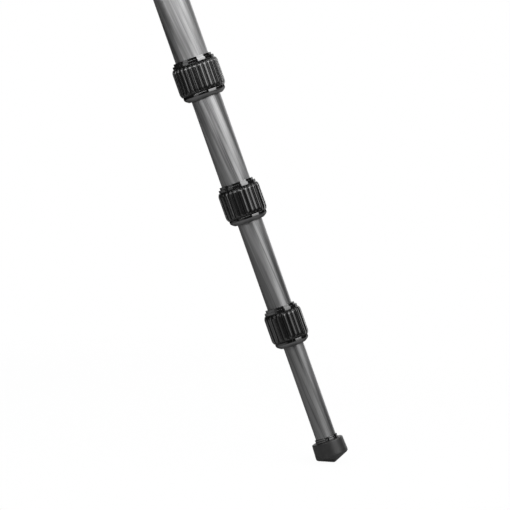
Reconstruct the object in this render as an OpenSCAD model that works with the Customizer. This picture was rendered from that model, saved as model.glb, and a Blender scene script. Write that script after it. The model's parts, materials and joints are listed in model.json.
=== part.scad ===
// A camera tripod with three four-section twist-lock legs, a centre column and a head plate.
// The origin is the middle of the head plate's face, where a head is screwed on, and +Z is up.
// Leg parts are drawn in a frame of their own: its origin is the hinge, its +Z runs down the
// leg and its +X faces the column, so a length called s is always measured down from the hinge.

/* [Leg tubes] */
// Outer diameter of the top tube
tube_d = 28; // [24:0.5:32]
// Wall of every leg tube
tube_wall = 1.4; // [1.2:0.1:1.8]
// Gap all round between one tube and the next one inside it
nest_gap = 0.45; // [0.35:0.05:0.6]
// Length of the guide bush at the upper end of each sliding tube
bush_h = 40; // [20:1:50]
// Length of the bottom tube's end plug
plug_h = 16; // [8:1:25]

/* [Leg layout] */
// Lean of a leg at its first stop, from upright
leg_angle = 20.5; // [14:0.5:24]
// From the hinge down to the top of the first lock
first_lock_at = 372.3; // [320:0.1:450]
// How far the second tube is drawn out of the first lock
drawn_2 = 72.8; // [20:0.1:120]
// How far the third tube is drawn out of the second lock
drawn_3 = 72.9; // [20:0.1:120]
// How far the bottom tube is drawn out of the third lock
drawn_4 = 79.4; // [20:0.1:120]

/* [Twist locks] */
// Height of each of the two glossy rings at a lock's top
ring_h = 2; // [1.5:0.1:4]
// How far the first ring stands over the tube
ring_1_over = 2; // [1.6:0.1:2.5]
// How far the second ring stands over the tube
ring_2_over = 3.5; // [2.6:0.1:4.5]
// How far the threaded spigot stands over the tube
spigot_over = 1.5; // [1.2:0.1:1.8]
// Length of the threaded spigot below the rings
spigot_h = 16; // [12:0.5:18]
// Depth of the tube's end in the lock, from the top ring
tube_seat = 12; // [9:0.5:14]
// Wall of the split collet that grips the sliding tube
collet_wall = 1.55; // [1.3:0.05:1.8]
// Height of the rubber grip
grip_h = 23.4; // [20:0.1:32]
// How far the rubber grip stands over the spigot
grip_over = 3.85; // [3.2:0.05:5]
// Thickness of the rubber grip between its grooves
grip_wall = 2.2; // [1.8:0.1:2.6]
// Open seam above and below the grip
seam = 0.45; // [0.4:0.05:1]
// Height of the glossy band below the grip
band_h = 1.8; // [1:0.1:3]
// How far that band stands over the spigot
band_over = 2.1; // [1.2:0.1:3]
// Height of the rounded taper at a lock's bottom
taper_h = 3.3; // [2.5:0.1:5]
// Width of a groove in the rubber grips
groove_w = 2.1; // [1.2:0.1:2.4]
// Grooves round the first lock's grip
grooves_1 = 28; // [16:1:30]
// Grooves round the second lock's grip
grooves_2 = 24; // [14:1:26]
// Grooves round the third lock's grip
grooves_3 = 21; // [12:1:22]
// Grooves round the column lock's grip
grooves_column = 30; // [16:1:32]

/* [Feet] */
// Radius of a rubber foot at its top
foot_top_r = 13; // [11.5:0.1:16]
// Radius of a rubber foot above its cone
foot_r = 13.7; // [12:0.1:17]
// Height of a foot above its cone
foot_h = 13; // [11:0.1:25]
// Height of a foot's cone
foot_cone_h = 5.8; // [4:0.1:7]
// Radius of the blunt tip
foot_tip_r = 1; // [0.5:0.1:3]
// How far the ferrule stands over the bottom tube
ferrule_over = 0.95; // [0.5:0.05:2]
// Height of the ferrule between the bottom tube and the foot
ferrule_h = 3; // [1.5:0.1:6]
// Radius of the threaded stud that holds a foot
foot_stud_r = 4; // [3:0.5:5]

/* [Hinges] */
// From the column's axis to each hinge
hinge_out = 38; // [36:0.5:48]
// Radius of the hinge bolts
bolt_r = 4; // [3:0.5:5]
// Radius of a hinge bolt's head and nut
bolt_head_r = 6.5; // [6:0.1:8]
// Height of a hinge bolt's head and nut
bolt_head_h = 3.6; // [3:0.1:5]
// Width of a spider arm between the yoke's cheeks
arm_w = 24; // [20:0.5:26]
// Radius of a spider arm's rounded end
arm_r = 10.5; // [9:0.5:11]
// Thickness of each cheek of a yoke
cheek_w = 5.7; // [4.5:0.1:7]
// Radius of a cheek round the hinge
cheek_r = 13; // [12:0.5:14]
// Gap between an arm and a cheek
cheek_gap = 0.3; // [0.2:0.05:0.5]
// Wall of the yoke's socket round the top tube
socket_wall = 3; // [2.5:0.1:3.5]
// How far the bead at the socket's mouth stands over the socket
bead_over = 1.2; // [0.6:0.1:2]
// Height of that bead
bead_h = 5; // [3:0.5:8]
// From the hinge to the top tube's end in the socket
tube_top = 30; // [28:0.5:34]
// Depth of the top tube in the socket
socket_depth = 36; // [25:1:45]

/* [Angle latches] */
// Width of a latch where it slides in the yoke's crown
latch_w = 16; // [12:0.5:18]
// Thickness of a latch
latch_t = 5; // [4:0.5:6]
// How far a latch is pulled out
latch_throw = 6; // [5:0.5:6.5]
// Width of a latch's finger tab
tab_w = 22; // [19:0.5:26]
// Depth of a latch's finger tab
tab_depth = 6; // [4:0.5:9]
// Radius of the pin that keeps a latch in
latch_pin_r = 1.3; // [1:0.1:1.5]

/* [Spider] */
// Radius of the hub round the column
hub_r = 20; // [19:0.5:22]
// Height of the hub above the hinges
hub_above = 20; // [19:0.5:26]
// Depth of the hub below the hinges
hub_below = 16; // [12:0.5:18]
// From each hinge inward to its stop face
stop_in = 14; // [13.5:0.5:15]
// Width of a stop face
stop_w = 18; // [14:0.5:20]
// Chamfer round the hub's ends
hub_edge = 1.2; // [0.5:0.1:2]
// Radius of the bubble level
level_r = 6.5; // [5:0.5:7.5]
// Height of the bubble level
level_h = 6; // [5:0.5:8]

/* [Column] */
// Outer diameter of the centre column
column_d = 28; // [26:0.5:30]
// Wall of the centre column
column_wall = 1.5; // [1.2:0.1:2]
// Length of the centre column
column_len = 287; // [200:1:300]
// Gap between the lowered head plate and the column lock
column_rest_gap = 1; // [0.5:0.1:5]
// How far the column's end cap stands over the column
cap_over = 1.5; // [1.5:0.1:3]
// Height of the end cap below the column
cap_h = 9; // [7:0.5:14]
// Depth of the end cap's plug in the column
cap_plug_h = 14; // [8:1:20]

/* [Head plate] */
// Diameter of the head plate
plate_d = 60; // [50:1:70]
// Height of the head plate
plate_h = 8; // [7:0.5:12]
// Radius of the flange under the head plate
flange_r = 17; // [16:0.5:20]
// Height of that flange
flange_h = 5; // [4:0.5:8]
// Depth of the head plate's plug in the column
plate_plug_h = 20; // [12:1:30]
// Diameter of the head screw
stud_d = 9.525; // [8.5:0.005:9.525]
// Height of the head screw over the plate
stud_h = 10.5; // [6:0.5:12]
// Length of the head screw inside the plate
stud_in = 22; // [12:0.5:26]
// Radius of the head screw inside the plate
stud_in_r = 4; // [2.5:0.25:4]
// Radius of the three set screws that keep a head from turning
set_screw_r = 2; // [1.5:0.25:2.5]
// From the axis to each set screw
set_screw_at = 22; // [21:0.5:24]

/* [Bag hook] */
// Radius of the hook's wire
hook_wire_r = 2.3; // [1.8:0.1:2.8]
// Radius of the hook's bend, to the middle of its wire
hook_bend_r = 9.5; // [8:0.5:12]
// Length of the straight neck between end cap and bend
hook_neck = 6; // [4:0.5:12]

/* [Hidden] */
$fn = 96;
LEGS = [1, 2, 3];
LOCKS = [1, 2, 3];

// Clearances: a glued or pressed joint, a part that slides, a screw thread, and open air
glue_gap = 0.05;
slide_gap = 0.05;
thread_gap = 0.1;
air_gap = 0.3;
// How far a cutting tool runs past what it cuts
past = 1;
// Small edge chamfer
edge = 0.4;

// Radii of the leg tubes, from 1 at the top to 4 at the foot
function tube_r(k) = tube_d / 2 - (k - 1) * (tube_wall + nest_gap);
function bore_r(k) = tube_r(k) - tube_wall;

// Heights inside one twist lock, down from its top ring
rings_h = 2 * ring_h;
grip_from = rings_h + seam;
grip_to = grip_from + grip_h;
band_from = grip_to + seam;
taper_from = band_from + band_h;
lock_h = taper_from + taper_h;
spigot_to = rings_h + spigot_h;
// From the tube's end to the collet, from the spigot to the collet's taper, and from its tip to the band
collet_gap = 0.5;
collet_land = 3;
collet_tip_gap = 1;
collet_from = tube_seat + collet_gap;
collet_bend = spigot_to + collet_land;
collet_to = grip_to - collet_tip_gap;
collet_tip_wall = collet_wall / 2;
// Wall of the taper's lip, and the taper's points as shares of its height and of its drop to the lip
lip_wall = 1.6;
TAPER = [[0.3, 0.13], [0.6, 0.4], [0.85, 0.72]];
// How far a grip's ends are drawn in, over what height, and the share of both where the curve turns
grip_draw_in = 1.3;
grip_shoulder_h = 3.2;
grip_turn = 0.35;
// From the end of a groove to the end of its grip
groove_end = 1.2;

// Places down the leg
drawn = [0, 0, drawn_2, drawn_3, drawn_4];
function lock_at(k) = k == 1 ? first_lock_at : lock_at(k - 1) + lock_h + drawn[k];
ferrule_at = lock_at(3) + lock_h + drawn_4;
foot_at = ferrule_at + ferrule_h;
// Rubber between a foot's hole and its cone, and the gap under the stud in that hole
foot_floor = 2.5;
foot_stud_gap = 0.5;
foot_hole_h = foot_h - foot_floor;
// Gap that is left between the tops of two nested tubes when a leg is pushed in
top_step = 2;
// Thickness of the plug that closes the top tube's upper end
tube_1_stop = 4;
function tube_from(k) = k == 1 ? tube_top
    : tube_from(k - 1) + drawn[k] + (k == 2 ? tube_1_stop : 0) + top_step;
function tube_to(k) = k == 4 ? ferrule_at - glue_gap : lock_at(k) + tube_seat;

// The yoke
socket_r = tube_r(1) + socket_wall;
cheek_out = arm_w / 2 + cheek_gap + cheek_w;
// From an arm's round end to the web below it, and to the crown over it
web_gap = 3;
crown_gap = 0.8;
web_from = arm_r + web_gap;
// How far the web stays inside the cheeks' side view
web_inset = 2;
web_half = cheek_r - web_inset;
// Solid end of the socket over the tube
socket_end = 8;
socket_from = tube_top - socket_end;
socket_to = tube_top + socket_depth;
crown_from = arm_r + crown_gap;
crown_wall = 3;
window_gap = 0.2;
latch_from = crown_from + crown_wall + window_gap;
crown_to = latch_from + latch_t + window_gap + crown_wall;
// How far the crown reaches from the hinge's line towards the column
crown_in = 5;
// How far the crown's rounded outer corner stands out past a cheek
crown_past = 11;
crown_round = cheek_r + crown_past;

// Heights on the axis, under the head plate's face
column_top = -plate_h - flange_h;
hub_top = column_top - column_rest_gap - lock_h;
hinge_z = hub_top - hub_above;
hub_bottom = hinge_z - hub_below;
column_bottom = column_top - column_len;
column_r = column_d / 2;
column_bore_r = column_r - column_wall;
sleeve_r = column_r + collet_wall;
column_spigot_r = sleeve_r + glue_gap + spigot_over;
grooves = [0, grooves_1, grooves_2, grooves_3];

// A ring with a bore, from one height to another
module ring(outer, inner, from, to)
    translate([0, 0, from]) difference() {
        cylinder(r = outer, h = to - from);
        translate([0, 0, -past]) cylinder(r = inner, h = to - from + 2 * past);
    }

// Puts leg parts at leg i, with +Z down the leg and +X towards the column
module leg_frame(i)
    rotate([0, 0, 120 * (i - 1)]) translate([hinge_out, 0, hinge_z])
        rotate([0, 180 - leg_angle, 0]) children();

// Puts parts at hinge i with +Z up and +X outward
module hinge_frame(i)
    rotate([0, 0, 120 * (i - 1)]) translate([hinge_out, 0, hinge_z]) children();

// A plate in the leg's XZ plane, centred on y
module side_plate(y, width)
    translate([0, y + width / 2, 0]) rotate([90, 0, 0]) linear_extrude(width) children();

// The two rings and the threaded spigot of a lock, with its bores
module lock_rings(tube, spigot, seat_bore, collet_bore)
    rotate_extrude() polygon([
        [seat_bore, 0], [tube + ring_1_over - edge, 0], [tube + ring_1_over, edge],
        [tube + ring_1_over, ring_h], [tube + ring_2_over - edge, ring_h],
        [tube + ring_2_over, ring_h + edge], [tube + ring_2_over, rings_h],
        [spigot, rings_h], [spigot, spigot_to], [collet_bore, spigot_to],
        [collet_bore, tube_seat], [seat_bore, tube_seat]
    ]);

// The split tapered collet in a lock
module collet(slide)
    difference() {
        rotate_extrude() polygon([
            [slide + slide_gap, collet_from], [slide + collet_wall, collet_from],
            [slide + collet_wall, collet_bend], [slide + collet_tip_wall, collet_to],
            [slide + slide_gap, collet_to]
        ]);
        translate([0, -edge, collet_from - past])
            cube([slide + 2 * collet_wall, 2 * edge, collet_to - collet_from + 2 * past]);
    }

// The metal nut of a lock: core under the grip, glossy band and rounded taper
module lock_collar(spigot, slide) {
    core = spigot + grip_over - grip_wall;
    band = spigot + band_over;
    throat = slide + air_gap;
    lip = throat + lip_wall;
    drop = band - lip;
    shoulder = slide + collet_wall + thread_gap;
    rotate_extrude() polygon(concat(
        [[spigot + thread_gap, rings_h + seam / 2], [core, rings_h + seam / 2],
         [core, band_from], [band - edge, band_from], [band, band_from + edge], [band, taper_from]],
        [for (point = TAPER) [band - point[1] * drop, taper_from + point[0] * taper_h]],
        [[lip, lock_h], [throat, lock_h], [throat, collet_to + edge],
         [slide + collet_tip_wall + thread_gap, collet_to + edge], [shoulder, collet_bend],
         [shoulder, spigot_to + edge], [spigot + thread_gap, spigot_to + edge]]
    ));
}

// The rubber grip on a lock's nut, with its grooves
module lock_grip(spigot, count) {
    out = spigot + grip_over;
    inner = out - grip_wall + glue_gap;
    turn_r = out - grip_turn * grip_draw_in;
    turn_h = grip_turn * grip_shoulder_h;
    difference() {
        rotate_extrude() polygon([
            [inner, grip_from], [out - grip_draw_in, grip_from], [turn_r, grip_from + turn_h],
            [out, grip_from + grip_shoulder_h], [out, grip_to - grip_shoulder_h],
            [turn_r, grip_to - turn_h], [out - grip_draw_in, grip_to], [inner, grip_to]
        ]);
        for (turn = [0 : count - 1]) rotate(turn * 360 / count)
            translate([out, 0, grip_from + groove_end])
                cylinder(d = groove_w, h = grip_h - 2 * groove_end, $fn = 24);
    }
}

// The guide bush round the upper end of sliding tube k
module guide_bush(k)
    ring(bore_r(k - 1) - slide_gap, tube_r(k) + glue_gap, tube_from(k), tube_from(k) + bush_h);

module leg_tube(i, k)
    leg_frame(i) {
        color([0.22, 0.22, 0.23]) ring(tube_r(k), bore_r(k), tube_from(k), tube_to(k));
        if (k == 1) color([0.1, 0.1, 0.1]) translate([0, 0, tube_top])
            cylinder(r = bore_r(1) - glue_gap, h = tube_1_stop);
        if (k > 1) color([0.1, 0.1, 0.1]) guide_bush(k);
        if (k == 4) color([0.06, 0.06, 0.06]) foot_ferrule();
    }

// End plug, glossy flange and foot stud in one turned piece
module foot_ferrule() {
    plug = bore_r(4) - glue_gap;
    flange = tube_r(4) + ferrule_over;
    stud_to = foot_at + foot_hole_h - foot_stud_gap;
    rotate_extrude() polygon([
        [0, ferrule_at - plug_h], [plug, ferrule_at - plug_h], [plug, ferrule_at],
        [flange - edge, ferrule_at], [flange, ferrule_at + edge],
        [flange, foot_at], [foot_stud_r, foot_at],
        [foot_stud_r, stud_to], [0, stud_to]
    ]);
}

module leg_foot(i)
    leg_frame(i) color([0.2, 0.2, 0.2]) translate([0, 0, foot_at]) {
        hole_r = foot_stud_r + glue_gap;
        rotate_extrude() polygon([
            [hole_r, 0], [foot_top_r - edge, 0], [foot_top_r, edge],
            [foot_r, foot_h - edge], [foot_r - edge, foot_h + edge / 2],
            [foot_tip_r, foot_h + foot_cone_h - edge / 2], [foot_tip_r / 2, foot_h + foot_cone_h],
            [0, foot_h + foot_cone_h], [0, foot_hole_h], [hole_r, foot_hole_h]
        ]);
    }

module leg_lock_socket(i, k)
    leg_frame(i) translate([0, 0, lock_at(k)]) {
        color([0.08, 0.08, 0.08]) lock_rings(
            tube_r(k), tube_r(k) + spigot_over,
            tube_r(k) + glue_gap, tube_r(k + 1) + collet_wall + glue_gap
        );
        color([0.3, 0.3, 0.3]) collet(tube_r(k + 1));
    }

module leg_collar(i, k)
    leg_frame(i) color([0.18, 0.18, 0.18]) translate([0, 0, lock_at(k)])
        lock_collar(tube_r(k) + spigot_over, tube_r(k + 1));

module leg_grip(i, k)
    leg_frame(i) color([0.12, 0.12, 0.12]) translate([0, 0, lock_at(k)])
        lock_grip(tube_r(k) + spigot_over, grooves[k]);

module leg_yoke(i)
    leg_frame(i) color([0.15, 0.15, 0.15]) {
        difference() {
            union() {
                for (side = [-1, 1]) side_plate(side * (cheek_out - cheek_w / 2), cheek_w) cheek_outline();
                side_plate(0, 2 * cheek_out) crown_outline();
                translate([-web_half, -arm_w / 2 - cheek_gap - past, web_from])
                    cube([2 * web_half, arm_w + 2 * (cheek_gap + past), tube_top - web_from]);
                translate([0, 0, socket_from]) cylinder(r = socket_r, h = socket_to - socket_from);
                rotate_extrude() polygon([
                    [0, socket_to - bead_h - bead_over], [socket_r, socket_to - bead_h - bead_over],
                    [socket_r + bead_over, socket_to - bead_h], [socket_r + bead_over, socket_to - edge],
                    [socket_r + bead_over - edge, socket_to], [0, socket_to]
                ]);
            }
            translate([0, 0, tube_top - glue_gap])
                cylinder(r = tube_r(1) + glue_gap, h = socket_depth + past);
            rotate([90, 0, 0]) cylinder(r = bolt_r + slide_gap, h = 2 * cheek_out + 2 * past, center = true);
            // Window that the latch slides through
            translate([-2 * cheek_r, -latch_w / 2 - window_gap, -latch_from - latch_t - window_gap])
                cube([4 * cheek_r, latch_w + 2 * window_gap, latch_t + 2 * window_gap]);
        }
        // Pin across the window, which stops the latch at both ends of its slot
        translate([latch_pin_x, 0, -crown_to + past])
            cylinder(r = latch_pin_r, h = crown_to - crown_from - 2 * past, $fn = 32);
    }

// Side view of a cheek: round at the hinge and on the socket, and straight up to the crown
module cheek_outline() {
    circle(r = cheek_r);
    translate([-cheek_r + edge, 0]) square([2 * (cheek_r - edge), socket_from]);
    translate([0, socket_from]) circle(r = cheek_r - edge);
    translate([-cheek_r + edge, -crown_to + crown_wall])
        square([cheek_r - edge + crown_in, crown_to - crown_wall]);
}

// Side view of the crown over the hinge, its outer corner rounded about the hinge
module crown_outline()
    intersection() {
        translate([-cheek_r, -crown_to]) square([cheek_r + crown_in, crown_to - crown_from]);
        circle(r = crown_round);
    }

// The pin's place across the leg, and how far the finger tab stands over the latch on both faces
latch_pin_x = -3;
tab_over = 2;
module leg_latch(i)
    leg_frame(i) color([0.3, 0.3, 0.3]) difference() {
        union() {
            translate([-cheek_r - 2 * edge, -latch_w / 2, -latch_from - latch_t])
                cube([2 * cheek_r, latch_w, latch_t]);
            translate([-cheek_r - 2 * edge - tab_depth, -tab_w / 2, -latch_from - latch_t - tab_over])
                cube([tab_depth, tab_w, latch_t + 2 * tab_over]);
        }
        // Slot for the pin, round at both ends
        slot_r = latch_pin_r + window_gap;
        translate([latch_pin_x, 0, -latch_from - latch_t - past]) {
            for (x = [0, latch_throw]) translate([x, 0, 0])
                cylinder(r = slot_r, h = latch_t + 2 * past, $fn = 32);
            translate([0, -slot_r, 0]) cube([latch_throw, 2 * slot_r, latch_t + 2 * past]);
        }
        // Nose cut upright, so that it bears flat on the spider's stop face
        rotate([0, leg_angle - 180, 0])
            translate([-stop_in - 2 * cheek_r, -latch_w, -2 * crown_to])
                cube([2 * cheek_r + slide_gap, 2 * latch_w, 4 * crown_to]);
    }

// How far an arm's flat sides stay inside its round end, and how far the stop blocks end under the hub's top
arm_inset = 1;
block_drop = 1;
module spider()
    color([0.15, 0.15, 0.15]) difference() {
        union() {
            rotate_extrude() polygon([
                [0, hub_bottom], [hub_r - hub_edge, hub_bottom], [hub_r, hub_bottom + hub_edge],
                [hub_r, hub_top - hub_edge], [hub_r - hub_edge, hub_top], [0, hub_top]
            ]);
            for (i = LEGS) hinge_frame(i) {
                rotate([90, 0, 0]) cylinder(r = arm_r, h = arm_w, center = true);
                translate([-hinge_out + hub_r / 2, -arm_w / 2, -arm_r + arm_inset])
                    cube([hinge_out - hub_r / 2, arm_w, 1.5 * arm_r]);
                // Block with the upright stop face for the latch's nose
                translate([-hinge_out + hub_r / 2, -stop_w / 2, 0])
                    cube([hinge_out - hub_r / 2 - stop_in, stop_w, hub_above - block_drop]);
            }
            translate([0, 0, hub_top]) lock_rings(
                column_spigot_r - spigot_over, column_spigot_r, column_r, column_r
            );
            level_boss();
        }
        translate([0, 0, hub_bottom - past])
            cylinder(r = sleeve_r + glue_gap, h = hub_top + lock_h - hub_bottom + past);
        for (i = LEGS) hinge_frame(i) rotate([90, 0, 0])
            cylinder(r = bolt_r + slide_gap, h = arm_w + 2 * past, center = true);
        translate([-level_at, 0, hub_top - level_sunk - level_h + edge])
            cylinder(r = level_r + glue_gap, h = 2 * level_h);
    }

// The bubble level stands in a boss behind the hub, between legs 2 and 3
level_gap = 1;
level_at = hub_r + level_r + level_gap;
level_sunk = 2;
boss_wall = 2;
module level_boss()
    translate([-level_at, 0, hub_top - level_sunk - level_h - boss_wall])
        cylinder(r = level_r + boss_wall, h = level_h + boss_wall);

module bubble_level()
    color([0.75, 0.8, 0.3]) translate([-level_at, 0, hub_top - level_sunk - level_h + edge])
        cylinder(r = level_r, h = level_h);

// Radius of the hexagon in a bolt's head, and the metal left under it
bolt_hex_r = 0.75 * bolt_r;
bolt_hex_floor = 1;
module hinge_bolts()
    for (i = LEGS) hinge_frame(i) rotate([90, 0, 0]) {
        reach = cheek_out + edge;
        color([0.5, 0.5, 0.5]) difference() {
            union() {
                translate([0, 0, -reach]) cylinder(r = bolt_r, h = 2 * reach + bolt_head_h / 2);
                translate([0, 0, -reach - bolt_head_h]) cylinder(r = bolt_head_r, h = bolt_head_h);
            }
            translate([0, 0, -reach - bolt_head_h - past])
                cylinder(r = bolt_hex_r, h = bolt_head_h - bolt_hex_floor + past, $fn = 6);
        }
        color([0.5, 0.5, 0.5]) translate([0, 0, reach]) difference() {
            cylinder(r = bolt_head_r, h = bolt_head_h);
            translate([0, 0, -past]) cylinder(r = bolt_r + slide_gap, h = bolt_head_h / 2 + past + glue_gap);
        }
    }

module column_sleeve()
    color([0.3, 0.3, 0.3]) difference() {
        union() {
            ring(sleeve_r, column_r + slide_gap, hub_bottom, hub_top + collet_bend);
            translate([0, 0, hub_top]) rotate_extrude() polygon([
                [column_r + slide_gap, collet_bend - past], [sleeve_r, collet_bend - past],
                [sleeve_r, collet_bend], [column_r + collet_tip_wall, collet_to],
                [column_r + slide_gap, collet_to]
            ]);
        }
        // Slots that let the upper end close on the column
        for (turn = [0, 120, 240]) rotate(turn)
            translate([0, -edge, hub_top + tube_seat]) cube([2 * sleeve_r, 2 * edge, lock_h]);
    }

module column_collar()
    color([0.18, 0.18, 0.18]) translate([0, 0, hub_top]) lock_collar(column_spigot_r, column_r);

module column_grip()
    color([0.12, 0.12, 0.12]) translate([0, 0, hub_top]) lock_grip(column_spigot_r, grooves_column);

module column_tube()
    color([0.22, 0.22, 0.23]) ring(column_r, column_bore_r, column_bottom, column_top);

// Chamfers of the head plate's upper and lower edge
plate_edge = 1;
plate_under_edge = 2;
module top_plate() {
    plug = column_bore_r - glue_gap;
    color([0.1, 0.1, 0.1]) difference() {
        rotate_extrude() polygon([
            [stud_in_r + slide_gap, 0], [plate_d / 2 - plate_edge, 0], [plate_d / 2, -plate_edge],
            [plate_d / 2, -plate_h + plate_under_edge], [plate_d / 2 - plate_under_edge, -plate_h],
            [flange_r, -plate_h],
            [flange_r, column_top], [plug, column_top], [plug, column_top - plate_plug_h],
            [stud_in_r + slide_gap, column_top - plate_plug_h]
        ]);
        for (turn = [60, 180, 300]) rotate(turn) translate([set_screw_at, 0, -plate_h - past])
            cylinder(r = set_screw_r + slide_gap, h = plate_h + 2 * past, $fn = 32);
    }
}

// Chamfer at the head screw's point
stud_point = 1;
module head_stud()
    color([0.6, 0.6, 0.62]) rotate_extrude() polygon([
        [0, -stud_in], [stud_in_r, -stud_in], [stud_in_r, 0], [stud_d / 2, 0],
        [stud_d / 2, stud_h - stud_point], [stud_d / 2 - stud_point, stud_h], [0, stud_h]
    ]);

// How far a set screw stands out under the plate and is sunk in its face, and its hexagon's depth
set_screw_out = 1;
set_screw_sunk = 0.5;
set_hex_h = 2;
module set_screws()
    for (turn = [60, 180, 300]) rotate(turn) translate([set_screw_at, 0, -plate_h - set_screw_out])
        color([0.5, 0.5, 0.5]) difference() {
            cylinder(r = set_screw_r, h = plate_h + set_screw_out - set_screw_sunk, $fn = 32);
            translate([0, 0, -past]) cylinder(r = set_screw_r / 2, h = set_hex_h + past, $fn = 6);
        }

// The end cap is a cup in the column's end, with the hook's head turning on its floor
hook_head_r = 6;
hook_head_h = 3;
cap_floor = 4;
cap_cup_r = hook_head_r + 2;
cap_edge = 2;
module column_end_cap()
    color([0.1, 0.1, 0.1]) rotate_extrude() polygon([
        [hook_wire_r + air_gap, column_bottom - cap_h],
        [column_r + cap_over - cap_edge, column_bottom - cap_h],
        [column_r + cap_over, column_bottom - cap_h + cap_edge], [column_r + cap_over, column_bottom],
        [column_bore_r - glue_gap, column_bottom], [column_bore_r - glue_gap, column_bottom + cap_plug_h],
        [cap_cup_r, column_bottom + cap_plug_h], [cap_cup_r, column_bottom - cap_h + cap_floor],
        [hook_wire_r + air_gap, column_bottom - cap_h + cap_floor]
    ]);

// The hook's bend, from the end of the wire round to the neck
hook_start = -200;
hook_sweep = 290;
module hook() {
    cap_bottom = column_bottom - cap_h;
    color([0.55, 0.55, 0.57]) {
        translate([0, 0, cap_bottom + cap_floor + edge]) cylinder(r = hook_head_r, h = hook_head_h);
        translate([0, 0, cap_bottom - hook_neck])
            cylinder(r = hook_wire_r, h = hook_neck + cap_floor + edge + hook_head_h / 2);
        translate([0, 0, cap_bottom - hook_neck - hook_bend_r]) rotate([90, 0, 0])
            rotate_extrude(angle = hook_sweep, start = hook_start)
                translate([hook_bend_r, 0]) circle(r = hook_wire_r);
    }
}

for (i = LEGS) {
    leg_yoke(i);
    leg_latch(i);
    leg_tube(i, 1);
    leg_tube(i, 2);
    leg_tube(i, 3);
    leg_tube(i, 4);
    for (k = LOCKS) {
        leg_lock_socket(i, k);
        leg_collar(i, k);
        leg_grip(i, k);
    }
    leg_foot(i);
}
spider();
hinge_bolts();
bubble_level();
column_sleeve();
column_collar();
column_grip();
column_tube();
top_plate();
head_stud();
set_screws();
column_end_cap();
hook();
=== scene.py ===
"""The looks of a camera tripod with carbon tubes and twist locks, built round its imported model.

Lengths are in metres. A turned piece is drawn in a local frame: w runs along its axis, and u and v lie
across it. A leg's frame has its origin at the hinge, w down the leg and u towards the column. A lock's
frame starts at its first ring, with w towards its tapered end.
"""

import json
import math
from itertools import product
from types import SimpleNamespace

import bmesh
import bpy
import numpy as np
from bpy.props import FloatProperty, FloatVectorProperty, IntVectorProperty, PointerProperty
from mathutils import Matrix, Vector

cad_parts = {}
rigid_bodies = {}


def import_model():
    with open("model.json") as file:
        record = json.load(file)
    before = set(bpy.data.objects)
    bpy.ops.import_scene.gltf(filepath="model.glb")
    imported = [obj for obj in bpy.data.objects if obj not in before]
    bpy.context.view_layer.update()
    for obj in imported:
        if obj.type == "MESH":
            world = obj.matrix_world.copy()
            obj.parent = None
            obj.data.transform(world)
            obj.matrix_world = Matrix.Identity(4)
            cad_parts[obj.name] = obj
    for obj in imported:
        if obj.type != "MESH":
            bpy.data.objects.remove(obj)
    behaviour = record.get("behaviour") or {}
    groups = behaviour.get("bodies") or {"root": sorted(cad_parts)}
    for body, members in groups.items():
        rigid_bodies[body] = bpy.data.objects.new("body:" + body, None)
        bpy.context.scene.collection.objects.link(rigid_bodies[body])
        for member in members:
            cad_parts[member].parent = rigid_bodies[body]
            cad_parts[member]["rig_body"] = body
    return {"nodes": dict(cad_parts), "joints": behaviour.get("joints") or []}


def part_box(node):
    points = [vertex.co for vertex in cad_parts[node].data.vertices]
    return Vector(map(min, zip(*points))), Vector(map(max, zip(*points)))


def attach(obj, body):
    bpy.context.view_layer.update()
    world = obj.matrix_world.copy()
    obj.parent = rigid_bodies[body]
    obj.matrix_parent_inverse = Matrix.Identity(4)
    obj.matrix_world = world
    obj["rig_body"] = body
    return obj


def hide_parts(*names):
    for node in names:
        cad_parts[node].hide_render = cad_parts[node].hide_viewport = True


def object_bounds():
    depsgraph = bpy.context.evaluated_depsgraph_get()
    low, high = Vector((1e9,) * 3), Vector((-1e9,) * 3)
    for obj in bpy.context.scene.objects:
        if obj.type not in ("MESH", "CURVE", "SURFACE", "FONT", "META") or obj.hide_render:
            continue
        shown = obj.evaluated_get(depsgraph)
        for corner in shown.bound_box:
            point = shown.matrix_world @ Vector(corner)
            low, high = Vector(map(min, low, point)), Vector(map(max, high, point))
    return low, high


bl_info = {
    "name": "Camera Tripod",
    "version": (1, 0, 0),
    "blender": (4, 5, 0),
    "location": "3D View > Sidebar > Tripod",
    "description": "Builds a carbon tube camera tripod with twist locks, and a studio round it",
    "category": "Add Mesh",
}

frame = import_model()
CAD_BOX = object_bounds()
JOINTS = {joint["name"]: joint for joint in frame["joints"]}
LEGS = (1, 2, 3)
LOCKS = (1, 2, 3)
TUBES = (1, 2, 3, 4)

FULL_TURN = 2 * math.pi
SEGMENTS = 128  # steps round a turned piece
FEWER_SEGMENTS = 96  # the same for threaded and hidden pieces
SMALL_SEGMENTS = 64  # the same for pieces of a few millimetres
ROUND_STEPS = 5  # steps round one corner of a profile
ROW_STEP = 0.01  # longest step along a tube
MERGE = 1e-7  # points closer than this are one point
CAST_MERGE = 1e-6  # the same for castings
TURNED_ANGLE = 40  # degrees from which an edge of a turned piece is drawn sharp
CAST_ANGLE = 35  # degrees from which an edge of a casting is rounded
FLAT_ANGLE = 1  # degrees up to which a casting's faces are merged
FIT = 0.00045  # how far a piece may leave the solid that it stands for
CURVE_POINTS = 12  # points along the curve of a taper, or of the level's window and bubble
SHOULDER_POINTS = 9  # points along the drawn-in end of a grip
FLATS = 0.15  # share of a thread's rise that is cut off at its crest, and again at its root


def size(name, description, default):
    """A length that a user may change, in metres."""
    return FloatProperty(name=name, description=description, default=default, min=0.0, unit="LENGTH",
                         precision=5)


def colour(name, description, default):
    """A surface colour that a user may change."""
    return FloatVectorProperty(name=name, description=description, default=default, min=0.0, max=1.0,
                               subtype="COLOR")


def level(name, description, default):
    """The radiance of a light, or the brightness of a surround, where 1 is white."""
    return FloatProperty(name=name, description=description, default=default, min=0.0)


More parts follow.
